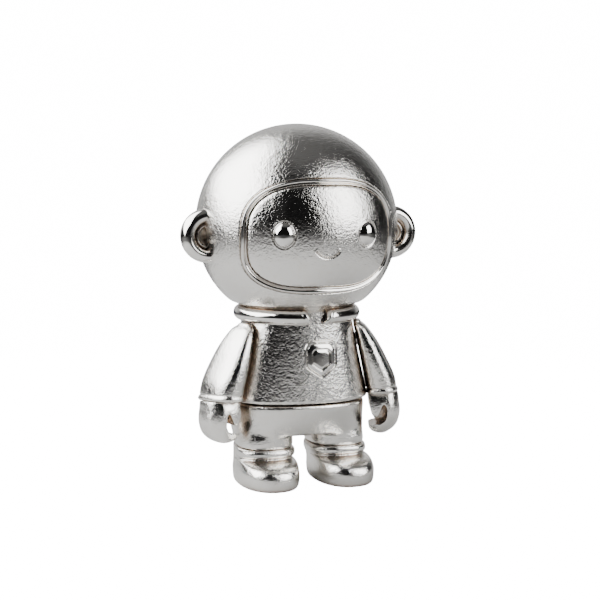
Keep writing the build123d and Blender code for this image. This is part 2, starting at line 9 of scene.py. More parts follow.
import bmesh
import bpy
import numpy as np
from mathutils import Matrix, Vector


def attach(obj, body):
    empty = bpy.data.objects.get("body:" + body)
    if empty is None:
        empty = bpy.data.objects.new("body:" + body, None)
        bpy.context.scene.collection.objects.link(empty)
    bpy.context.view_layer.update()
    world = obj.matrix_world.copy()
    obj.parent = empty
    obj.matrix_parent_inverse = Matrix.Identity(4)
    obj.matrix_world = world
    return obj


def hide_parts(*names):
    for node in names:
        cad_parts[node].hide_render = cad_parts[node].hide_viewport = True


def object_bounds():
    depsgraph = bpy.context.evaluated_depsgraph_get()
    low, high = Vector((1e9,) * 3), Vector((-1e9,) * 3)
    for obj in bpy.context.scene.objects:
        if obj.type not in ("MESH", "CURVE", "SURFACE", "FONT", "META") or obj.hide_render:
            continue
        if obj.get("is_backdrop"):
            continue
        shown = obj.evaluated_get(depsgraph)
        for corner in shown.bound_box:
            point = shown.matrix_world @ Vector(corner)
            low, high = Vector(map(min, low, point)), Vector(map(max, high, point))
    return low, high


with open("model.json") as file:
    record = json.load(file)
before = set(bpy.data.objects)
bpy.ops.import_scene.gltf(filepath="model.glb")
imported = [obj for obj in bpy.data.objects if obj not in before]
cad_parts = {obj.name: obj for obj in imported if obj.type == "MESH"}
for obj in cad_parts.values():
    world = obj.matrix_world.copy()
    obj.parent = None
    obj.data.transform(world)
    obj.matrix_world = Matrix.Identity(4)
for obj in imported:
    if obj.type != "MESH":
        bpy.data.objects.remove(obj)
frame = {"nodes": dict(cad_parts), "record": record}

MM = 0.001
TAU = 2 * math.pi
log = logging.getLogger("figure")


class Side(Enum):
    """The figure's own two sides, with the sign of X on each."""

    LEFT = 1
    RIGHT = -1

    @property
    def word(self) -> str:
        """The side's name as the CAD nodes spell it."""
        return self.name.lower()


# ---------------------------------------------------------------- curves and surfaces


def around(count: int) -> np.ndarray:
    """Angles evenly spaced round a full turn, without the closing one."""
    return np.linspace(0, TAU, count, endpoint=False)


def oval(turn: np.ndarray, half_a, half_b, power) -> np.ndarray:
    """Polar radius of |x / a|^p + |y / b|^p = 1 at an angle: r = (|cos / a|^p + |sin / b|^p)^(-1/p)."""
    return (np.abs(np.cos(turn) / half_a) ** power + np.abs(np.sin(turn) / half_b) ** power) ** (-1 / power)


def through(knots, samples: int, closed: bool = False) -> np.ndarray:
    """Smooth curve through knots.

    Args:
        knots: rows of numbers, one row for each knot.
        samples: points on each span between two knots.
        closed: whether the curve runs back to its first knot.

    Returns:
        Points of the Catmull-Rom curve
        p(u) = ((2 b) + (c - a) u + (2 a - 5 b + 4 c - d) u^2 + (3 b - a - 3 c + d) u^3) / 2.
    """
    knots = np.asarray(knots, float)
    if closed:
        padded = np.vstack([knots[-1:], knots, knots[:2]])
    else:
        padded = np.vstack([2 * knots[:1] - knots[1:2], knots, 2 * knots[-1:] - knots[-2:-1]])
    u = np.linspace(0, 1, samples, endpoint=False)[None, :, None]
    a, b, c, d = (padded[i : len(padded) - 3 + i, None, :] for i in range(4))
    curve = (2 * b + (c - a) * u + (2 * a - 5 * b + 4 * c - d) * u**2 + (3 * b - a - 3 * c + d) * u**3) / 2
    curve = curve.reshape(-1, knots.shape[1])
    return curve if closed else np.vstack([curve, knots[-1:]])


def step(low: float, high: float, value: np.ndarray) -> np.ndarray:
    """Smooth step from 0 at low to 1 at high: 3 t^2 - 2 t^3."""
    t = np.clip((value - low) / (high - low), 0, 1)
    return t * t * (3 - 2 * t)


def bump(distance: np.ndarray, width: float) -> np.ndarray:
    """Bell of height 1 about distance 0: exp(-(d / width)^2)."""
    return np.exp(-((distance / width) ** 2))


@dataclass(frozen=True)
class Bore:
    """Straight round hole that a pin or post passes through. Millimetres."""

    origin: tuple
    axis: tuple
    radius: float
    reach: float

    def clears(self, centres: np.ndarray) -> np.ndarray:
        """True for each face centre that stays, because it is outside the hole."""
        axis = np.array(self.axis) / np.linalg.norm(self.axis)
        offset = centres - np.array(self.origin)
        along = offset @ axis
        across = np.linalg.norm(offset - along[:, None] * axis, axis=1)
        return (across > self.radius) | (np.abs(along) > self.reach)


def placed(name: str, data) -> bpy.types.Object:
    """Makes an object of a mesh, a light or a camera and puts it in the scene."""
    obj = bpy.data.objects.new(name, data)
    bpy.context.scene.collection.objects.link(obj)
    return obj


def surface(name: str, grid, wrap_rows=False, poles=(False, False), bores=()) -> bpy.types.Object:
    """Makes a smooth mesh object from a grid of points, with its last column joined to its first.

    Args:
        name: the object's name.
        grid: points in millimetres, rows by columns by 3.
        wrap_rows: whether the last row joins the first.
        poles: whether the first and last rows close to a point in their middle.
        bores: holes to leave open.

    Returns:
        The object, with its faces outward and its place in its vertices.
    """
    rows, columns = grid.shape[:2]
    left = np.arange(rows * columns).reshape(rows, columns)
    right = np.roll(left, -1, axis=1)
    near, far = (slice(None), np.roll(np.arange(rows), -1)) if wrap_rows else (slice(0, -1), slice(1, None))
    quads = np.stack([left[near], right[near], right[far], left[far]], axis=-1).reshape(-1, 4)
    points = grid.reshape(-1, 3)
    centres = points[quads].mean(axis=1)
    diagonals = points[quads[:, 2]] - points[quads[:, 0]], points[quads[:, 3]] - points[quads[:, 1]]
    facing = np.einsum("ij,ij->", centres - points.mean(axis=0), np.cross(*diagonals))
    keep = np.ones(len(quads), bool)
    for bore in bores:
        keep &= bore.clears(centres)
    faces = quads[keep].tolist()
    if poles[0]:
        points = np.vstack([points, grid[0].mean(axis=0)])
        faces += np.stack([right[0], left[0], np.full(columns, len(points) - 1)], axis=-1).tolist()
    if poles[1]:
        points = np.vstack([points, grid[-1].mean(axis=0)])
        faces += np.stack([left[-1], right[-1], np.full(columns, len(points) - 1)], axis=-1).tolist()
    if facing < 0:
        faces = [face[::-1] for face in faces]
    mesh = bpy.data.meshes.new(name)
    mesh.from_pydata((points * MM).tolist(), [], faces)
    mesh.polygons.foreach_set("use_smooth", np.ones(len(mesh.polygons), bool))
    mesh.update()
    return placed(name, mesh)


def fit(obj, finish, body: str, slot: str, *nodes: str) -> bpy.types.Object:
    """Gives a finished piece its material and its body, and hides the CAD nodes that it stands for."""
    obj.data.materials.clear()
    obj.data.materials.append(finish.material())
    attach(obj, body)
    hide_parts(*nodes)
    log.info("%s: %d faces", obj.name, len(obj.data.polygons))
    return obj


def close_ends(obj) -> None:
    """Closes a surface's open ends with flat faces."""
    shell = bmesh.new()
    shell.from_mesh(obj.data)
    bmesh.ops.holes_fill(shell, edges=shell.edges[:], sides=0)
    bmesh.ops.recalc_face_normals(shell, faces=shell.faces[:])
    shell.to_mesh(obj.data)
    shell.free()


def weld(obj, parts: list, voxel: float, rounds: int) -> np.ndarray:
    """Joins closed surfaces into one on a fine grid and softens the joints.

    Args:
        obj: the first surface, which takes the result.
        parts: the other surfaces, which are used up.
        voxel: the grid's pitch in millimetres.
        rounds: how often every point moves half way to the mean of its neighbours.

    Returns:
        The result's points in millimetres, for the caller to trim.
    """
    with bpy.context.temp_override(active_object=obj, selected_editable_objects=[obj, *parts]):
        bpy.ops.object.join()
    joined = obj.modifiers.new("weld", "REMESH")
    joined.mode = "VOXEL"
    joined.voxel_size = voxel * MM
    joined.use_smooth_shade = True
    soft = obj.modifiers.new("soft", "SMOOTH")
    soft.factor = 0.5
    soft.iterations = rounds
    mesh = bpy.data.meshes.new_from_object(obj.evaluated_get(bpy.context.evaluated_depsgraph_get()))
    mesh.name = obj.name
    obj.modifiers.clear()
    obj.data = mesh
    points = np.empty(len(mesh.vertices) * 3, np.float32)
    mesh.vertices.foreach_get("co", points)
    return points.reshape(-1, 3) / MM


def trim(obj, points: np.ndarray) -> None:
    """Puts points, in millimetres, back into a surface."""
    obj.data.vertices.foreach_set("co", (points * MM).astype(np.float32).ravel())
    obj.data.update()


def thicken(obj, wall: float) -> None:
    """Gives an open skin an inner face, one wall inside the outer one."""
    modifier = obj.modifiers.new("wall", "SOLIDIFY")
    modifier.thickness = wall * MM
    modifier.offset = -1


# ---------------------------------------------------------------- finishes


class Nodes:
    """Small helper that adds and joins the nodes of one tree."""

    def __init__(self, tree):
        """Starts on an empty tree."""
        self.tree = tree
        tree.nodes.clear()

    def add(self, kind: str, inputs: dict | None = None, **settings) -> bpy.types.Node:
        """Adds a node.

        Args:
            kind: the node's type name.
            inputs: a value, or a socket to join, for each input, which is given by its name or its number.
            settings: the node's own properties.

        Returns:
            The node.
        """
        node = self.tree.nodes.new(kind)
        for key, value in settings.items():
            setattr(node, key, value)
        for key, value in (inputs or {}).items():
            socket = node.inputs[key]
            if isinstance(value, bpy.types.NodeSocket):
                self.tree.links.new(value, socket)
            else:
                socket.default_value = value
        return node


def grain_group() -> bpy.types.NodeTree:
    """Hammered grain that all finishes share.

    Returns:
        The group. From a position and the dimples' number per metre it gives a height, a mask of worn
        places and a mask of stained ones.
    """
    name = "hammered grain"
    if name in bpy.data.node_groups:
        return bpy.data.node_groups[name]
    tree = bpy.data.node_groups.new(name, "ShaderNodeTree")
    nodes = Nodes(tree)
    tree.interface.new_socket("Position", in_out="INPUT", socket_type="NodeSocketVector")
    tree.interface.new_socket("Per metre", in_out="INPUT", socket_type="NodeSocketFloat")
    for output in ("Height", "Wear", "Stain"):
        tree.interface.new_socket(output, in_out="OUTPUT", socket_type="NodeSocketFloat")
    given = nodes.add("NodeGroupInput").outputs
    place, scale = given["Position"], given["Per metre"]
    fine = {"Vector": place, "Scale": scale, "Detail": 3.0, "Roughness": 0.55}
    dimple = nodes.add("ShaderNodeTexNoise", fine)
    wide = nodes.add("ShaderNodeMath", {0: scale, 1: 0.38}, operation="MULTIPLY")
    swell = nodes.add("ShaderNodeTexNoise", {"Vector": place, "Scale": wide.outputs[0], "Detail": 1.0})
    slow = nodes.add("ShaderNodeMath", {0: scale, 1: 0.07}, operation="MULTIPLY")
    patch = nodes.add("ShaderNodeTexNoise", {"Vector": place, "Scale": slow.outputs[0], "Detail": 3.0})
    both = {0: swell.outputs[0], 1: 0.8, 2: dimple.outputs[0]}
    mixed = nodes.add("ShaderNodeMath", both, operation="MULTIPLY_ADD")
    wear = nodes.add("ShaderNodeMapRange", {"Value": patch.outputs[0], "From Min": 0.35, "From Max": 0.7})
    stain = nodes.add("ShaderNodeMapRange", {"Value": swell.outputs[0], "From Min": 0.45, "From Max": 0.75})
    ends = {"Height": mixed.outputs[0], "Wear": wear.outputs[0], "Stain": stain.outputs[0]}
    nodes.add("NodeGroupOutput", ends)
    return tree


def start_material(name: str, grain: float) -> tuple[bpy.types.Material, Nodes, bpy.types.Node]:
    """Starts a material with the hammered grain.

    Args:
        name: the material's name.
        grain: size of the dimples in millimetres.

    Returns:
        The material, the helper for its nodes and the grain's own node.
    """
    made = bpy.data.materials.new(name)
    made.use_nodes = True
    nodes = Nodes(made.node_tree)
    place = nodes.add("ShaderNodeTexCoord").outputs["Object"]
    given = {"Position": place, "Per metre": 1 / (grain * MM)}
    return made, nodes, nodes.add("ShaderNodeGroup", given, node_tree=grain_group())


@dataclass(frozen=True)
class Plating:
    """Bright plating over a cast surface, with brown shade painted into its hidden corners.

    Attributes:
        name: the material's name.
        color: the plating's own colour.
        grain: size of the dimples in millimetres.
        depth: height of the dimples in millimetres.
        gloss: roughness where the plating is least worn.
        dull: roughness where it is most worn.
        corner_shade: how strongly brown shade is painted into the hidden corners, from 0 to 1.
    """

    STAINED = (0.98, 0.97, 0.95)
    # Colour of the painted shade, and how far in millimetres the occlusion looks for corners.
    BROWN = (0.34, 0.24, 0.16, 1)
    SHADE_REACH = 6.0

    name: str
    color: tuple = (0.80, 0.785, 0.755)
    grain: float = 0.5
    depth: float = 0.12
    gloss: float = 0.1
    dull: float = 0.17
    corner_shade: float = 0.8

    def material(self) -> bpy.types.Material:
        """The plating's material, made once."""
        if self.name in bpy.data.materials:
            return bpy.data.materials[self.name]
        made, nodes, grain = start_material(self.name, self.grain)
        # Painted shade: an ambient occlusion node mixes a dark brown into the colour in corners, creases and
        # gaps between parts, where shade falls.
        nearby = {"Distance": self.SHADE_REACH * MM}
        corner = nodes.add("ShaderNodeAmbientOcclusion", nearby, samples=6)
        hiding = {"Value": corner.outputs["AO"], "From Min": 0.62, "From Max": 0.1, "To Max": self.corner_shade}
        hidden = nodes.add("ShaderNodeMapRange", hiding)
        stained = tuple(own * share for own, share in zip(self.color, self.STAINED))
        tones = {"Factor": grain.outputs["Stain"], 6: (*self.color, 1), 7: (*stained, 1)}
        warm = nodes.add("ShaderNodeMix", tones, data_type="RGBA")
        tones = {"Factor": hidden.outputs[0], 6: warm.outputs[2], 7: self.BROWN}
        brown = nodes.add("ShaderNodeMix", tones, data_type="RGBA")
        worn = {"Value": grain.outputs["Wear"], "To Min": self.gloss, "To Max": self.dull}
        rough = nodes.add("ShaderNodeMapRange", worn)
        dent = nodes.add("ShaderNodeBump", {"Height": grain.outputs["Height"], "Distance": self.depth * MM})
        metal = nodes.add(
            "ShaderNodeBsdfPrincipled",
            {
                "Metallic": 1.0,
                "Base Color": brown.outputs[2],
                "Roughness": rough.outputs[0],
                "Normal": dent.outputs[0],
            },
        )
        nodes.add("ShaderNodeOutputMaterial", {"Surface": metal.outputs[0]})
        return made


GRAINED = Plating("grained_plating")
HAMMERED = Plating("hammered_plating", grain=0.6)
FINE = Plating("fine_plating", grain=0.45, depth=0.09, gloss=0.11, dull=0.19, corner_shade=0.85)
SMOOTH = Plating("smooth_plating", grain=0.8, depth=0.012, gloss=0.07, dull=0.14)
MIRROR = Plating("mirror_plating", grain=1.2, depth=0.004, gloss=0.03, dull=0.05, corner_shade=0.3)
ROUGH = Plating("rough_casting", (0.62, 0.58, 0.52), 0.6, 0.09, gloss=0.25, dull=0.4, corner_shade=0.9)
STEEL = Plating("turned_steel", (0.55, 0.55, 0.56), grain=0.9, depth=0.004, gloss=0.25, dull=0.35)


@dataclass(frozen=True)
class Moulded:
    """Dark matt plastic of the running parts, with the size of its grain in millimetres."""

    name: str = "moulded_plastic"
    fresh: tuple = (0.02, 0.02, 0.022, 1)
    worn: tuple = (0.035, 0.035, 0.038, 1)
    grain: float = 0.5
    roughness: float = 0.55

    def material(self) -> bpy.types.Material:
        """The plastic's material, made once."""
        if self.name in bpy.data.materials:
            return bpy.data.materials[self.name]
        made, nodes, grain = start_material(self.name, self.grain)
        tones = {"Factor": grain.outputs["Wear"], 6: self.fresh, 7: self.worn}
        tone = nodes.add("ShaderNodeMix", tones, data_type="RGBA")
        body = {"Base Color": tone.outputs[2], "Roughness": self.roughness}
        plastic = nodes.add("ShaderNodeBsdfPrincipled", body)
        nodes.add("ShaderNodeOutputMaterial", {"Surface": plastic.outputs[0]})
        return made


# ---------------------------------------------------------------- head


@dataclass(frozen=True)
class HeadSizes:
    """Sizes of the helmet, face and ears in millimetres."""

    radius: float = 28.3
    centre_z: float = 71.7
    floor_z: float = 50.0
    floor_soft: float = 1.1
    floor_clear: float = 6.0
    wall: float = 2.0
    neck_hole: float = 8.2
    visor_half: tuple = (21.6, 15.5)
    visor_powers: tuple = (2.6, 2.9)
    visor_drop: float = 1.7
    rim_width: float = 2.04
    eye_half: tuple = (2.95, 3.4)
    eye_spread: float = 11.7
    eye_drop: float = 1.1
    eye_proud: float = 1.5
    eye_buried: float = 1.1
    smile_half: float = 3.1
    smile_sag: float = 1.6
    smile_drop: float = 5.6
    ear_centre: tuple = (26.7, -3.6, 69.5)
    ear_radius: float = 5.45
    ear_tube: tuple = (2.05, 3.1)


class Head:
    """Helmet, visor rim, face plate, eyes and ears, all on the head's body."""

    BODY = "head"

    def __init__(self, sizes: HeadSizes = HeadSizes()):
        """Keeps the sizes."""
        self.sizes = sizes

    def opening(self, turn: np.ndarray, inset) -> tuple[np.ndarray, np.ndarray]:
        """Outline of the face opening in X and Z from the helmet's centre, drawn in by an inset.

        The inset runs along the surface, so it is foreshortened by sqrt(1 - (r / R)^2).
        """
        s = self.sizes
        power = np.where(np.sin(turn) < 0, s.visor_powers[1], s.visor_powers[0])
        radius = oval(turn, *s.visor_half, power)
        radius = radius - inset * np.sqrt(1 - (radius / s.radius) ** 2)
        return radius * np.cos(turn), radius * np.sin(turn) - s.visor_drop

    def lifted(self, x: np.ndarray, z: np.ndarray, height) -> np.ndarray:
        """Points at radius R + h in front of the centre: C + (R + h) (x, -sqrt(R^2 - x^2 - z^2), z) / R."""
        s = self.sizes
        y = -np.sqrt(np.maximum(s.radius**2 - x**2 - z**2, 0))
        scale = (s.radius + height) / s.radius
        return np.stack([x * scale, y * scale, z * scale + s.centre_z], axis=-1)

    def helmet(self) -> bpy.types.Object:
        """Round shell from the face opening to the back.

        Each line runs on a great circle from the opening's edge d0 to the back pole p,
        (sin((1 - f) a) d0 + sin(f a) p) / sin a, its edge curls in, and z is never under the floor.
        """
        s = self.sizes
        turn = around(320)
        x, z = self.opening(turn, 0.0)
        start = np.stack([x, -np.sqrt(s.radius**2 - x**2 - z**2), z], axis=-1) / s.radius
        t = np.linspace(0, 1, 201)[:-1, None]
        share = 0.02 * t + 0.98 * t**2
        angle = np.arccos(start[:, 1])[None, :]
        ahead = np.sin((1 - share) * angle) / np.sin(angle)
        behind = np.sin(share * angle) / np.sin(angle)
        direction = ahead[..., None] * start[None] + behind[..., None] * np.array([0.0, 1.0, 0.0])
        from_edge = share * angle * s.radius
        radius = s.radius - 0.75 * np.clip(1 - from_edge / 0.55, 0, 1) ** 2
        points = direction * radius[..., None]
        rise = points[..., 2] - (s.floor_z - s.centre_z)
        softened = (rise + np.sqrt(rise**2 + s.floor_soft**2)) / 2
        points[..., 2] = np.minimum(softened + s.floor_z, points[..., 2] + s.centre_z + s.floor_soft)
        excess = 0.25 * s.floor_soft**2 / np.maximum(rise, s.floor_clear)
        points[..., 2] -= np.where(rise > s.floor_clear, excess, 0)
        hole = Bore((0, 0, s.floor_z), (0, 0, 1), s.neck_hole, 3)
        obj = surface("helmet_skin", points, poles=(False, True), bores=(hole,))
        thicken(obj, s.wall)
        return fit(obj, GRAINED, self.BODY, "plated_grain", "helmet_front", "helmet_back")

    def rim(self) -> bpy.types.Object:
        """Bead round the face opening: a closed section of inset and height swept round the outline."""
        section = through(
            [
                (0.0, -1.2),
                (0.1, -0.45),
                (0.35, 0.12),
                (0.75, 0.32),
                (1.12, 0.14),
                (1.34, -0.22),
                (1.48, -0.42),
                (1.62, -0.22),
                (1.8, -0.08),
                (1.96, -0.16),
                (2.02, -0.6),
                (1.9, -1.4),
                (0.8, -1.7),
            ],
            6,
            closed=True,
        )
        turn = around(420)[None, :]
        x, z = self.opening(turn, section[:, :1])
        obj = surface("visor_rim", self.lifted(x, z, section[:, 1:]), wrap_rows=True)
        return fit(obj, SMOOTH, self.BODY, "plated_smooth", "visor_ring")

    def eye_frame(self, side: Side) -> tuple[np.ndarray, np.ndarray, np.ndarray]:
        """Unit vectors of an eye: out of the face, across it and up it."""
        s = self.sizes
        depth = math.sqrt(s.radius**2 - s.eye_spread**2 - s.eye_drop**2)
        out = np.array([side.value * s.eye_spread, -depth, -s.eye_drop]) / s.radius
        across = np.array([-out[1], out[0], 0.0])
        across /= np.linalg.norm(across)
        return out, across, np.cross(across, out)

    def face(self) -> bpy.types.Object:
        """Face plate: rings of the opening's outline shrunk to its middle, a cut smile and sunk eye edges.

        The smile's depth is 0.55 exp(-(d / 0.26)^2) for the distance d to its arc.
        """
        s = self.sizes
        turn = around(440)[None, :]
        edge_x, edge_z = self.opening(turn, s.rim_width)
        share = np.linspace(1, 0, 181)[:-1, None]
        x = edge_x * share
        z = (edge_z + s.visor_drop) * share - s.visor_drop
        from_edge = (1 - share) * np.hypot(edge_x, edge_z + s.visor_drop)
        height = -0.1 - 0.6 * np.exp(-from_edge / 0.3)
        bend = (s.smile_half**2 + s.smile_sag**2) / (2 * s.smile_sag)
        low = -s.smile_drop - s.smile_sag
        on_arc = np.abs(np.hypot(x, z - low - bend) - bend)
        past = np.hypot(np.abs(x) - s.smile_half, z + s.smile_drop)
        reach = np.where(z > -s.smile_drop, past, on_arc)
        height = height - 0.55 * bump(reach, 0.26) + 0.07 * bump(reach - 0.62, 0.22)
        points = self.lifted(x, z, height)
        centre = np.array([0, 0, s.centre_z])
        for side in Side:
            out, across, up = self.eye_frame(side)
            offset = points - centre
            ring = np.hypot(offset @ across / s.eye_half[0], offset @ up / s.eye_half[1])
            groove = 0.3 * bump((ring - 1.05) * 3.2, 0.16) - 0.08 * bump((ring - 1.16) * 3.2, 0.2)
            points = points - np.where(offset @ out > 0, groove, 0)[..., None] * out
        obj = surface("face_skin", points, poles=(False, True))
        return fit(obj, GRAINED, self.BODY, "plated_grain", "face_plate")

    def eye(self, side: Side) -> bpy.types.Object:
        """Domed oval eye: height (h + b) (1 - s^2.4)^(1/2) - b over the ellipse at share s."""
        s = self.sizes
        out, across, up = self.eye_frame(side)
        turn = around(120)[None, :]
        share = np.sin(np.linspace(0.5 * math.pi, 0, 41))[:-1, None]
        u = share * s.eye_half[0] * np.cos(turn)
        v = share * s.eye_half[1] * np.sin(turn)
        height = (s.eye_proud + s.eye_buried) * np.sqrt(1 - share**2.4) - s.eye_buried + 0 * turn
        centre = out * s.radius + np.array([0, 0, s.centre_z])
        points = centre + u[..., None] * across + v[..., None] * up + height[..., None] * out
        back = points[:1] - 1.0 * out
        obj = surface(f"eye_dome_{side.word}", np.concatenate([back, points]), poles=(True, True))
        return fit(obj, MIRROR, self.BODY, "plated_smooth", f"eye_{side.word}")

    def turned(self, name: str, section, side: Side, **ends) -> bpy.types.Object:
        """Section of radius and offset turned about the ear's own axis, which runs front to back."""
        cx, cy, cz = self.sizes.ear_centre
        turn = around(144)[None, :]
        radius, offset = section[:, :1], section[:, 1:]
        x = side.value * (cx + radius * np.cos(turn))
        z = cz + radius * np.sin(turn)
        grid = np.stack([x, cy + offset + 0 * turn, z], axis=-1)
        return surface(name, grid, **ends)

    def ear(self, side: Side) -> None:
        """Thick round ear rim with a thin step inside it, and the rough dish that it frames."""
        s = self.sizes
        half_r, half_y = s.ear_tube
        angle = np.radians([160, 130, 100, 70, 35, 0, -35, -70, -100, -140])
        outer = [(s.ear_radius + half_r * math.cos(a), -half_y * math.sin(a)) for a in angle]
        inner = [(3.1, 1.1), (2.75, 0.0), (2.7, -1.15), (2.95, -1.5), (3.25, -1.45), (3.42, -1.1)]
        section = through(outer + inner, 8, closed=True)
        ring = self.turned(f"ear_rim_{side.word}", section, side, wrap_rows=True)
        fit(ring, SMOOTH, self.BODY, "plated_smooth", f"ear_ring_{side.word}")
        bowl = through([(3.0, -0.2), (2.8, -0.75), (2.2, -0.85), (1.4, -0.6), (0.6, -0.5), (0.05, -0.48)], 6)
        rear = through([(0.05, 0.6), (1.5, 0.7), (2.9, 0.6)], 4)
        dish = self.turned(f"ear_bowl_{side.word}", np.vstack([rear, bowl]), side, poles=(True, True))
        fit(dish, ROUGH, self.BODY, "plated_smooth", f"ear_dish_{side.word}")

    def build(self) -> None:
        """Builds the whole head."""
        self.helmet()
        self.rim()
        self.face()
        for side in Side:
            self.eye(side)
            self.ear(side)


# ---------------------------------------------------------------- body


@dataclass(frozen=True)
class BodySizes:
    """Sizes of the torso, collar and badge in millimetres."""

    top_z: float = 46.4
    hem_z: float = 23.4
    rim_z: float = 49.4
    rim_round: float = 0.4
    top_half: tuple = (14.9, 14.6)
    hem_half: tuple = (20.0, 15.6)
    power: float = 2.35
    hem_round: float = 0.9
    plating: float = 0.12
    collar_radius: float = 15.75
    collar_tube: float = 2.05
    collar_z: float = 47.4
    notch_middle: float = 2.8
    notch_slope: float = 0.488
    notch_x: float = 1.0
    badge_centre: tuple = (2.3, 35.6)
    badge_wall: float = 0.3
    shoulder: tuple = (16.5065, -4.5221, 39.6)
    shoulder_axis: tuple = (0.930274, -0.302264, 0.207912)
    shoulder_hole: float = 2.2


class Torso:
    """Jacket with its collar and badge, on the torso's body."""

    BODY = "torso"

    def __init__(self, sizes: BodySizes = BodySizes()):
        """Keeps the sizes."""
        self.sizes = sizes

    def half(self, z) -> tuple[np.ndarray, np.ndarray]:
        """Half width and half depth of the jacket at a height."""
        s = self.sizes
        share = (s.top_z - z) / (s.top_z - s.hem_z)
        return (
            s.top_half[0] + share * (s.hem_half[0] - s.top_half[0]),
            s.top_half[1] + share * (s.hem_half[1] - s.top_half[1]),
        )

    def front(self, x: np.ndarray, z: np.ndarray) -> np.ndarray:
        """Depth of the jacket's front: y = -b (1 - |x / a|^p)^(1/p)."""
        half_x, half_y = self.half(z)
        return -half_y * (1 - np.abs(x / half_x) ** self.sizes.power) ** (1 / self.sizes.power)

    def jacket(self) -> bpy.types.Object:
        """Bell with oval sections r(turn) = oval(a(z), b(z)), a rolled hem and a flat top."""
        s = self.sizes
        curl = np.linspace(-0.5 * math.pi, 0, 12)
        hem_inset = s.hem_round * (1 - np.cos(curl))
        hem_z = s.hem_z + s.hem_round * (1 + np.sin(curl))
        wall_z = np.linspace(s.hem_z + s.hem_round, s.top_z, 90)[1:]
        neck_z = np.linspace(s.top_z, s.rim_z - s.rim_round, 10)[1:]
        corner = 0.3 * s.rim_round
        inset = np.concatenate([hem_inset, 0 * wall_z, 0 * neck_z, [corner, s.rim_round]])
        height = np.concatenate([hem_z, wall_z, neck_z, [s.rim_z - corner, s.rim_z]])
        half_x, half_y = self.half(np.minimum(height, s.top_z))
        half_x, half_y = half_x + s.plating - inset, half_y + s.plating - inset
        inward = np.linspace(0.34, 0.97, 14)
        over = inward[::-1]
        half_x = np.concatenate([inward * half_x[0], half_x, over * half_x[-1]])
        half_y = np.concatenate([inward * half_y[0], half_y, over * half_y[-1]])
        height = np.concatenate([0 * inward + height[0], height, 0 * inward + height[-1]])
        turn = around(300)[None, :]
        radius = oval(turn, half_x[:, None], half_y[:, None], s.power)
        grid = np.stack([radius * np.cos(turn), radius * np.sin(turn), height[:, None] + 0 * turn], axis=-1)
        pins = tuple(
            Bore(
                (side.value * s.shoulder[0], *s.shoulder[1:]),
                (side.value * s.shoulder_axis[0], *s.shoulder_axis[1:]),
                s.shoulder_hole,
                5,
            )
            for side in Side
        )
        obj = surface("jacket_skin", grid, bores=pins)
        return fit(obj, HAMMERED, self.BODY, "plated_grain", "torso_front", "torso_back")

    def collar(self) -> bpy.types.Object:
        """Round rod swept from one slanted end of the front notch to the other, grooved near each end."""
        s = self.sizes
        turn = around(72)[None, :]
        length = TAU * s.collar_radius
        share = np.linspace(0, 1, 361)[:, None]
        along = share * length
        to_end = np.minimum(along, length - along)
        tip = 0.5
        rounded = np.sqrt(np.clip(1 - (1 - to_end / tip) ** 2, 0, 1)) * 0.35 + 0.65
        swell = np.where(to_end < tip, rounded, 1.0) - 0.10 * bump(to_end - 1.25, 0.16)
        tube = s.collar_tube * swell
        rise = tube * np.sin(turn)
        radius = s.collar_radius + tube * np.cos(turn)
        half_gap = s.notch_middle + s.notch_slope * rise
        start = np.arcsin((half_gap + s.notch_x) / (s.collar_radius + s.collar_tube))
        stop = TAU - np.arcsin((half_gap - s.notch_x) / (s.collar_radius + s.collar_tube))
        angle = start + share * (stop - start)
        grid = np.stack([radius * np.sin(angle), -radius * np.cos(angle), s.collar_z + rise], axis=-1)
        obj = surface("collar_rod", grid, poles=(True, True))
        return fit(obj, SMOOTH, self.BODY, "plated_smooth", "collar_ring")

    def badge(self) -> bpy.types.Object:
        """Small shield with a ridge, a groove and a domed middle.

        Its outline is r(turn) = (sum max(cos(turn - a_k) / d_k, 0)^16)^(-1/16) over its seven sides.
        """
        s = self.sizes
        sides = np.radians([0.0, 43.0, 90.0, 137.0, 180.0, 235.2, 304.8])
        reach = np.array([5.0, 6.3, 5.55, 6.3, 5.0, 4.75, 4.75])
        turn = around(260)
        spread = np.maximum(np.cos(turn[:, None] - sides) / reach, 0)
        sharp = 16
        radius = (np.sum(spread**sharp, axis=1) ** (-1 / sharp))[None, :]
        depth = np.concatenate([np.linspace(0, 3.0, 61), np.linspace(3.1, 4.4, 8)])
        profile = through(
            [
                (0.0, -0.35),
                (0.12, 0.25),
                (0.34, 0.52),
                (0.56, 0.30),
                (0.76, 0.02),
                (0.98, 0.30),
                (1.22, 0.48),
                (1.75, 0.62),
                (1.95, 0.58),
                (2.15, 0.28),
                (2.35, 0.40),
                (2.6, 0.55),
                (3.0, 0.60),
                (4.4, 0.62),
            ],
            8,
        )
        height = np.interp(depth, profile[:, 0], profile[:, 1])[:, None]
        to_middle = 4.45
        share = np.maximum(1 - depth / to_middle, 0.0)[:, None]
        x = s.badge_centre[0] + radius * share * np.cos(turn)
        z = s.badge_centre[1] + radius * share * np.sin(turn)
        grid = np.stack([x, self.front(x, z) - height, z], axis=-1)
        obj = surface("shield_badge", grid, poles=(False, True))
        thicken(obj, s.badge_wall)
        return fit(obj, SMOOTH, self.BODY, "plated_smooth", "badge")

    def build(self) -> None:
        """Builds the whole torso."""
        self.jacket()
        self.collar()
        self.badge()


# ---------------------------------------------------------------- arms


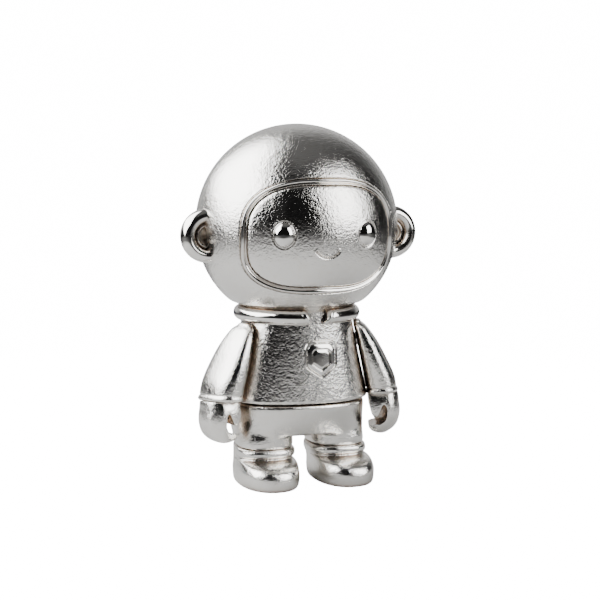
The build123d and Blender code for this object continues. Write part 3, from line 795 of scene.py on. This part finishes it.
@dataclass(frozen=True)
class ArmSizes:
    """Sizes of an arm in its own plane: n away from the body, t to the back, z up. Millimetres.

    The hand's outline is in n and z. Rows of the sleeve give the height, the outer edge in n, half the
    depth along t and the middle in t.
    """

    toe_in: float = 18.0
    tilt: float = 11.6
    root_n: float = 15.48
    root_z: float = 46.4
    power: float = 2.4
    wrist: tuple = (24.6, 2.6, 23.8)
    wrist_tilt: float = 6.0
    wrist_lean: float = 5.0
    crown: float = 0.7
    cuff_height: float = 3.3
    lip_proud: float = 0.28
    hand_gap: float = 0.12
    hand_depth: tuple = (2.3, 5.8)
    outer_round: float = 3.2
    outline: tuple = (
        (20.6, 25.0),
        (24.4, 25.2),
        (28.4, 25.0),
        (29.3, 21.5),
        (29.5, 18.0),
        (28.3, 14.6),
        (25.2, 12.4),
        (22.0, 12.6),
        (20.5, 14.3),
        (22.4, 15.0),
        (24.8, 15.3),
        (26.9, 16.7),
        (27.6, 19.0),
        (26.6, 21.0),
        (25.0, 20.8),
        (23.9, 19.0),
        (23.0, 17.7),
        (21.8, 17.6),
        (21.0, 19.2),
        (20.5, 21.8),
    )
    rows: tuple = (
        (44.6, 18.2, 2.8, 0.7),
        (43.0, 20.0, 4.7, 0.7),
        (39.0, 22.9, 6.3, 1.0),
        (34.0, 25.6, 7.4, 1.4),
        (29.0, 27.8, 7.9, 1.9),
        (24.0, 28.7, 8.0, 2.2),
    )


class Arm:
    """One sleeve and its hand."""

    def __init__(self, side: Side, sizes: ArmSizes = ArmSizes()):
        """Keeps the side and the sizes."""
        self.side = side
        self.sizes = sizes

    def place(self, n: np.ndarray, t: np.ndarray, z: np.ndarray) -> np.ndarray:
        """Points of the arm's plane in the figure's frame: x = n cos + t sin, y = -n sin + t cos."""
        toe = math.radians(self.sizes.toe_in)
        n, t, z = np.broadcast_arrays(n, t, z)
        x = n * math.cos(toe) + t * math.sin(toe)
        y = -n * math.sin(toe) + t * math.cos(toe)
        return np.stack([self.side.value * x, y, z], axis=-1)

    def wrist_height(self, n: np.ndarray, t: np.ndarray) -> np.ndarray:
        """Height of the slanted wrist plane at a place in the arm's plane."""
        s = self.sizes
        rise = math.tan(math.radians(s.wrist_tilt)) * (n - s.wrist[0])
        return s.wrist[2] + rise - math.tan(math.radians(s.wrist_lean)) * (t - s.wrist[1])

    def sleeve(self) -> bpy.types.Object:
        """Sleeve with oval sections between its flat inner face and a bowed outer edge, and a rolled cuff.

        Rows slant towards the wrist plane as they near it. The cuff's lip stands proud by a bell of width
        0.7, has a groove of width 0.22 above it and rolls in at its edge.
        """
        s = self.sizes
        z, outer, half_t, mid_t = np.hsplit(through(s.rows, 16), 4)
        inner = s.root_n + (s.root_z - z) * math.tan(math.radians(s.tilt))
        half_n = (outer - inner) / 2
        rows = np.hstack([z, outer - half_n, mid_t, half_n, half_t])
        cap = np.sin(np.linspace(0.08, 0.5 * math.pi, 12))[:-1]
        crown = np.repeat(rows[:1], len(cap), axis=0)
        crown[:, 0] += s.crown * np.sqrt(1 - cap**2)
        crown[:, 3:] *= cap[:, None]
        rows = np.vstack([crown, rows])
        lip = (1 - np.linspace(0, 1, 44) ** 1.4) * 2.6
        low = s.wrist[2] + lip
        cuff = np.stack([np.interp(low, rows[::-1, 0], column) for column in rows[::-1].T], axis=-1)
        cuff[:, 0] = low
        roll = np.clip(1 - lip / 0.75, 0, 1)
        flare = s.lip_proud * bump(lip - 0.8, 0.7) - 0.2 * bump(lip - 1.75, 0.22)
        flare -= 0.8 * (1 - np.sqrt(1 - roll**2))
        cuff[:, 3:] += flare[:, None]
        shrink = np.linspace(0.95, 0.5, 10)
        turned_in = np.repeat(cuff[-1:], len(shrink), axis=0)
        turned_in[:, 3:] *= shrink[:, None]
        rows = np.vstack([rows[rows[:, 0] > s.wrist[2] + s.cuff_height], cuff, turned_in])
        z, mid_n, mid_t, half_n, half_t = np.hsplit(rows, 5)
        turn = around(160)[None, :]
        radius = oval(turn, half_n, half_t, s.power)
        n = mid_n + radius * np.cos(turn)
        t = mid_t + radius * np.sin(turn)
        slant = 1 - step(s.wrist[2] + 1.0, s.wrist[2] + 9.0, z)
        grid = self.place(n, t, z + slant * (self.wrist_height(n, t) - s.wrist[2]))
        obj = surface(f"sleeve_skin_{self.side.word}", grid, poles=(True, False))
        return fit(obj, GRAINED, f"arm_{self.side.word}", "plated_grain", f"sleeve_{self.side.word}")

    def finger(self, spine, samples: int = 10) -> np.ndarray:
        """Round-ended tube round a spine in the arm's plane.

        Args:
            spine: rows of n, t, z, half width across the spine and half depth along t.
            samples: points on each span of the spine.

        Returns:
            A grid of points: spine + a cos(turn) side + b sin(turn) t, where side is square to the spine.
        """
        path = through(spine, samples)
        ahead = np.gradient(path[:, :3], axis=0)
        side = np.stack([ahead[:, 2], 0 * ahead[:, 0], -ahead[:, 0]], axis=-1)
        side /= np.linalg.norm(side, axis=1)[:, None]
        turn = around(64)[None, :, None]
        reach = oval(turn, path[:, None, 3:4], path[:, None, 4:5], 2.6)
        offset = reach * np.cos(turn) * side[:, None, :]
        depth = reach * np.sin(turn) * np.array([0.0, 1.0, 0.0])
        points = path[:, None, :3] + offset + depth
        return self.place(points[..., 0], points[..., 1], points[..., 2])

    def hand(self) -> bpy.types.Object:
        """Cupped mitten with a notch between its fingers and its thumb, which a palm closes at the back.

        Its outline runs along t. Its outer side is drawn in by k (1 - sqrt(1 - 0.96 |share|^2.6)).
        """
        s = self.sizes
        outline = through(s.outline, 12, closed=True)[None, :, :]
        share = np.linspace(-1, 1, 41)[:, None]
        pull = 1 - np.sqrt(1 - 0.96 * np.abs(share) ** 2.6)
        n = outline[..., 0] - s.outer_round * pull * step(22.5, 29.0, outline[..., 0])
        z = outline[..., 1] + 1.4 * pull * step(17.5, 12.5, outline[..., 1])
        t = s.hand_depth[0] + s.hand_depth[1] * share + 0 * n
        palm = self.finger(
            [
                (24.6, 3.8, 22.5, 2.6, 2.6),
                (24.6, 4.8, 20.4, 2.8, 3.0),
                (24.6, 5.0, 18.2, 2.8, 3.0),
                (24.4, 4.8, 16.2, 2.4, 2.8),
                (24.2, 4.6, 14.8, 1.2, 2.0),
            ]
        )
        word = self.side.word
        obj = surface(f"hand_skin_{word}", self.place(n, t, z))
        close_ends(obj)
        points = weld(obj, [surface("palm", palm, poles=(True, True))], voxel=0.16, rounds=45)
        toe = math.radians(s.toe_in)
        across = self.side.value * points[:, 0]
        n = across * math.cos(toe) - points[:, 1] * math.sin(toe)
        t = across * math.sin(toe) + points[:, 1] * math.cos(toe)
        ahead = np.clip((s.hand_depth[0] - t) / s.hand_depth[1], 0, 1)
        behind = np.clip((t - s.hand_depth[0]) / s.hand_depth[1], 0, 1)
        t -= 1.6 * behind**2 * step(24.0, 20.5, n)
        t += ahead * (1.5 * ((n - 24) / 5.5) ** 2 + 1.3 * ((points[:, 2] - 19.5) / 6) ** 2)
        points = self.place(n, t, points[:, 2])
        points[:, 2] = np.minimum(points[:, 2], self.wrist_height(n, t) - s.hand_gap)
        trim(obj, points)
        return fit(obj, FINE, f"hand_{word}", "plated_grain", f"hand_{word}")

    def build(self) -> None:
        """Builds the sleeve and the hand."""
        self.sleeve()
        self.hand()


# ---------------------------------------------------------------- legs


@dataclass(frozen=True)
class LegSizes:
    """Sizes of the trousers and boots in millimetres.

    Rows of the hips, of one leg and of one boot give the height, the front, the back, the outer and inner
    edges and the power of the section. Rows of the boot's band give the height and how proud it is.
    """

    hips: tuple = (
        (23.05, -14.1, 14.1, 18.2, -18.2, 2.35),
        (22.75, -14.7, 14.7, 18.8, -18.8, 2.35),
        (22.1, -14.9, 14.9, 19.05, -19.05, 2.35),
        (18.5, -13.9, 13.9, 18.8, -18.8, 2.45),
        (15.0, -12.3, 12.3, 18.4, -18.4, 3.1),
        (13.9, -11.9, 11.9, 18.4, -18.4, 3.4),
    )
    leg: tuple = (
        (17.5, -9.0, 8.5, 15.2, 5.4, 2.4),
        (15.6, -10.2, 9.4, 16.6, 4.0, 2.5),
        (13.9, -11.2, 9.7, 18.1, 2.8, 2.5),
        (12.4, -11.3, 8.9, 18.4, 2.6, 2.6),
        (10.1, -11.2, 7.6, 18.4, 2.6, 2.6),
    )
    boot: tuple = (
        (0.0, -18.2, 6.6, 17.9, 3.9, 2.3),
        (0.35, -19.2, 7.5, 18.8, 3.1, 2.3),
        (1.2, -19.75, 8.0, 19.2, 2.7, 2.35),
        (2.8, -19.9, 8.1, 19.3, 2.55, 2.4),
        (4.2, -19.75, 8.0, 19.3, 2.6, 2.45),
        (5.4, -19.1, 7.9, 19.1, 2.7, 2.5),
        (6.3, -17.8, 7.8, 18.9, 2.75, 2.6),
        (6.8, -16.3, 7.7, 18.8, 2.8, 2.6),
        (7.0, -14.8, 7.6, 18.7, 2.8, 2.6),
        (7.1, -13.2, 7.6, 18.6, 2.8, 2.6),
        (7.2, -12.0, 7.5, 18.5, 2.8, 2.6),
        (7.45, -11.25, 7.5, 18.5, 2.8, 2.6),
        (7.8, -11.1, 7.5, 18.45, 2.8, 2.6),
    )
    band: tuple = ((7.8, 0.0), (8.0, 0.4), (8.4, 0.68), (8.9, 0.75), (9.5, 0.7), (9.95, 0.45), (10.22, 0.0))


class Legs:
    """Trousers and boots, on the legs' body."""

    BODY = "legs"

    def __init__(self, sizes: LegSizes = LegSizes()):
        """Keeps the sizes."""
        self.sizes = sizes

    def stacked(self, name: str, rows: np.ndarray, side: Side, swell=0.0, columns=180) -> bpy.types.Object:
        """Surface of oval sections stacked by height.

        Args:
            name: the surface's name.
            rows: height, front, back, outer edge, inner edge and power of each section.
            side: the side that it lies on.
            swell: how far each section grows at its front, fading to nothing at its back.
            columns: points round each section.

        Returns:
            The surface: x = mid + r cos(turn), y = mid + r sin(turn), with r the oval's radius.
        """
        z, front, back, outer, inner, power = np.hsplit(rows, 6)
        turn = around(columns)[None, :]
        radius = oval(turn, (outer - inner) / 2, (back - front) / 2, power)
        radius = radius + swell * step(0.9, -0.75, np.sin(turn) + 0.45 * np.cos(turn))
        x = side.value * ((outer + inner) / 2 + radius * np.cos(turn))
        y = (back + front) / 2 + radius * np.sin(turn)
        return surface(name, np.stack([x, y, z + 0 * x], axis=-1), poles=(True, True))

    def trousers(self) -> bpy.types.Object:
        """Hips and both legs, welded, with a soft arch between the legs."""
        hips = self.stacked("trousers_skin", through(self.sizes.hips, 8), Side.LEFT, columns=260)
        legs = [self.stacked(f"leg_{side.word}", through(self.sizes.leg, 8), side) for side in Side]
        trim(hips, weld(hips, legs, voxel=0.24, rounds=90))
        return fit(hips, FINE, self.BODY, "plated_grain", "trousers")

    def boot(self, side: Side) -> bpy.types.Object:
        """Boot from the sole up to the ankle, with a band that is proud at its front."""
        lower = through(self.sizes.boot, 9)
        band = through(self.sizes.band, 7)[1:]
        upper = np.repeat(lower[-1:], len(band), axis=0)
        upper[:, 0] = band[:, 0]
        swell = np.concatenate([0 * lower[:, :1], band[:, 1:]])
        obj = self.stacked(f"boot_skin_{side.word}", np.concatenate([lower, upper]), side, swell)
        return fit(obj, FINE, self.BODY, "plated_grain", f"boot_{side.word}")

    def build(self) -> None:
        """Builds the trousers and both boots."""
        self.trousers()
        for side in Side:
            self.boot(side)


class InnerParts:
    """Posts, pins, clips, pegs and screws, which keep their CAD shapes and only get a finish."""

    FINISHES = {"inner_steel": STEEL, "inner_bush": Moulded()}

    def build(self) -> None:
        """Gives each inner CAD node its slot's finish."""
        for part in frame["record"]["subparts"]:
            finish = self.FINISHES.get(part["material_slot"])
            if finish:
                node = frame["nodes"][part["node"]]
                node.data.materials.clear()
                node.data.materials.append(finish.material())


# ---------------------------------------------------------------- studio


@dataclass(frozen=True)
class Softbox:
    """Large soft light that the plating mirrors.

    Attributes:
        name: the light's name.
        right: how far its direction from the figure leans to the camera's right.
        up: how far it leans to the camera's up.
        near: how far it leans towards the camera.
        distance: how far away it is, in metres.
        size: its width and height in metres.
        power: its strength in watts.
        roll: its turn about its own axis in degrees.
    """

    name: str
    right: float
    up: float
    near: float
    distance: float
    size: tuple
    power: float
    roll: float = 0.0


@dataclass(frozen=True)
class Glow:
    """Soft patch of the backdrop that the plating mirrors.

    Attributes:
        right: how far its direction leans to the camera's right.
        up: how far it leans to the camera's up.
        near: how far it leans towards the camera.
        value: its brightness.
        core: half its full-strength angle in degrees.
        edge: half the angle at which it has faded out.
    """

    right: float
    up: float
    near: float
    value: float
    core: float
    edge: float


class Studio:
    """Floor, lights, backdrop glow and camera. Metres, and millimetres for the sensor and the lens."""

    AZIMUTH = math.radians(-18.042)
    ELEVATION = math.radians(6.342)
    DISTANCE = 0.412315
    SENSOR = 36.0
    LENS = 87.71838
    CENTRE = np.array([0.0, 0.0, 0.05053])
    SIDESTEP = 0.00101
    LIGHTS_ABOVE = np.array([0.0, 0.0, 0.02])
    DARK = 0.008
    SEEN_WHITE = 16.0
    FLOOR_REACH = 3.0
    # Painted pool of light on the floor: the radii between which its colour fades, and its colour inside and
    # outside them.
    LIGHT_POOL_EDGE = (0.17, 0.28)
    LIGHT_POOL_TONE = (0.42, 0.01)
    BOXES = (
        Softbox("left softbox", -0.79, 0.60, 0.02, 0.65, (0.98, 0.66), 18.0, -24.0),
        Softbox("right softbox", 0.79, 0.38, 0.48, 0.65, (0.48, 0.62), 6.0),
    )
    GLOWS = (
        Glow(-0.27, 0.37, -0.89, 0.62, 18, 44),
        Glow(0.0, 1.0, 0.0, 0.13, 8, 46),
        Glow(0.22, 0.50, -0.84, 0.12, 18, 42),
        Glow(0.34, -0.02, -0.94, 0.35, 12, 32),
    )

    def axes(self) -> tuple[np.ndarray, np.ndarray, np.ndarray]:
        """Right, up and towards the camera, as unit vectors."""
        flat = math.cos(self.ELEVATION)
        right = np.array([math.cos(self.AZIMUTH), math.sin(self.AZIMUTH), 0.0])
        back = np.array([right[1] * flat, -right[0] * flat, math.sin(self.ELEVATION)])
        return right, np.cross(back, right), back

    def aim(self, obj, place: np.ndarray, toward_back: np.ndarray, roll: float = 0.0) -> None:
        """Puts a camera or light at a place, its Z axis along toward_back, its X axis level but for roll."""
        side = np.cross([0.0, 0.0, 1.0], toward_back)
        side /= np.linalg.norm(side)
        side = math.cos(roll) * side + math.sin(roll) * np.cross(toward_back, side)
        up = np.cross(toward_back, side)
        matrix = np.eye(4)
        matrix[:3, 0], matrix[:3, 1], matrix[:3, 2], matrix[:3, 3] = side, up, toward_back, place
        obj.matrix_world = Matrix(matrix.tolist())

    def camera(self) -> None:
        """Level camera a little above the figure's middle and to its right-hand side."""
        right, _, back = self.axes()
        data = bpy.data.cameras.new("camera")
        data.sensor_width = self.SENSOR
        data.lens = self.LENS
        data.clip_start = 0.01
        obj = placed("camera", data)
        self.aim(obj, self.CENTRE + right * self.SIDESTEP + back * self.DISTANCE, back)
        bpy.context.scene.camera = obj

    def lights(self) -> None:
        """Soft area lights, placed by their direction from the figure's middle."""
        right, up, back = self.axes()
        for box in self.BOXES:
            data = bpy.data.lights.new(box.name, "AREA")
            data.shape = "RECTANGLE"
            data.size, data.size_y = box.size
            data.energy = box.power
            way = box.right * right + box.up * up + box.near * back
            way /= np.linalg.norm(way)
            place = self.CENTRE + self.LIGHTS_ABOVE + way * box.distance
            self.aim(placed(box.name, data), place, way, math.radians(box.roll))

    def glow(self) -> None:
        """Backdrop: white where it is seen, and for mirrored rays dark with soft bright patches."""
        right, up, back = self.axes()
        world = bpy.data.worlds.new("backdrop")
        world.use_nodes = True
        bpy.context.scene.world = world
        nodes = Nodes(world.node_tree)
        place = nodes.add("ShaderNodeTexCoord").outputs["Generated"]
        total = None
        for glow in self.GLOWS:
            way = glow.right * right + glow.up * up + glow.near * back
            near = nodes.add("ShaderNodeVectorMath", {0: place, 1: tuple(way)}, operation="DOT_PRODUCT")
            fade = {
                "Value": near.outputs["Value"],
                "From Min": math.cos(math.radians(glow.edge)),
                "From Max": math.cos(math.radians(glow.core)),
                "To Max": glow.value,
            }
            patch = nodes.add("ShaderNodeMapRange", fade, interpolation_type="SMOOTHSTEP")
            before = self.DARK if total is None else total
            total = nodes.add("ShaderNodeMath", {0: patch.outputs[0], 1: before}, operation="ADD").outputs[0]
        seen = nodes.add("ShaderNodeLightPath").outputs["Is Camera Ray"]
        white = (self.SEEN_WHITE, self.SEEN_WHITE, self.SEEN_WHITE, 1)
        color = nodes.add("ShaderNodeMix", {"Factor": seen, 6: total, 7: white}, data_type="RGBA")
        light = nodes.add("ShaderNodeBackground", {"Color": color.outputs[2], "Strength": 1.0})
        nodes.add("ShaderNodeOutputWorld", {"Surface": light.outputs[0]})

    def floor(self) -> None:
        """Floor that is evenly white where it is seen, with a painted pool of light round the figure: its
        colour fades from grey near the middle to near black further out, into the dark backdrop that
        mirrored rays see.
        """
        mesh = bpy.data.meshes.new("floor")
        reach = self.FLOOR_REACH
        corners = [(-reach, -reach, 0), (reach, -reach, 0), (reach, reach, 0), (-reach, reach, 0)]
        mesh.from_pydata(corners, [], [(0, 1, 2, 3)])
        obj = placed("floor", mesh)
        made = bpy.data.materials.new("pale_floor")
        made.use_nodes = True
        nodes = Nodes(made.node_tree)
        place = nodes.add("ShaderNodeTexCoord").outputs["Object"]
        cloud = nodes.add("ShaderNodeTexNoise", {"Vector": place, "Scale": 3.0})
        far = nodes.add("ShaderNodeVectorMath", {0: place}, operation="LENGTH")
        # Painted pool of light: lighter colour near the figure, fading with distance.
        fade = {
            "Value": far.outputs["Value"],
            "From Min": self.LIGHT_POOL_EDGE[0],
            "From Max": self.LIGHT_POOL_EDGE[1],
            "To Min": self.LIGHT_POOL_TONE[0],
            "To Max": self.LIGHT_POOL_TONE[1],
        }
        pool = nodes.add("ShaderNodeMapRange", fade)
        tone = nodes.add("ShaderNodeMapRange", {"Value": cloud.outputs[0], "To Min": 0.97, "To Max": 1.0})
        shade = nodes.add("ShaderNodeMath", {0: pool.outputs[0], 1: tone.outputs[0]}, operation="MULTIPLY")
        seen = nodes.add("ShaderNodeLightPath").outputs["Is Camera Ray"]
        shine = nodes.add("ShaderNodeMapRange", {"Value": seen, "To Min": 0.0, "To Max": self.SEEN_WHITE})
        paint = nodes.add(
            "ShaderNodeBsdfPrincipled",
            {
                "Base Color": shade.outputs[0],
                "Roughness": 0.9,
                "Emission Color": (1, 1, 1, 1),
                "Emission Strength": shine.outputs[0],
            },
        )
        nodes.add("ShaderNodeOutputMaterial", {"Surface": paint.outputs[0]})
        mesh.materials.append(made)
        obj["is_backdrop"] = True

    def build(self) -> None:
        """Sets up the whole studio."""
        self.floor()
        self.glow()
        self.lights()
        self.camera()


def measured() -> list:
    """The figure's bounds as plain lists."""
    return json.loads(json.dumps(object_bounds(), default=list))


def main() -> None:
    """Builds the pieces in order, dresses them and sets up the studio."""
    logging.basicConfig(level=logging.INFO, format="%(message)s")
    before = measured()
    Head().build()
    Torso().build()
    for side in Side:
        Arm(side).build()
    Legs().build()
    InnerParts().build()
    Studio().build()
    after = measured()
    log.info("cad %s, visual %s", before, after)


if __name__ == "__main__":
    main()
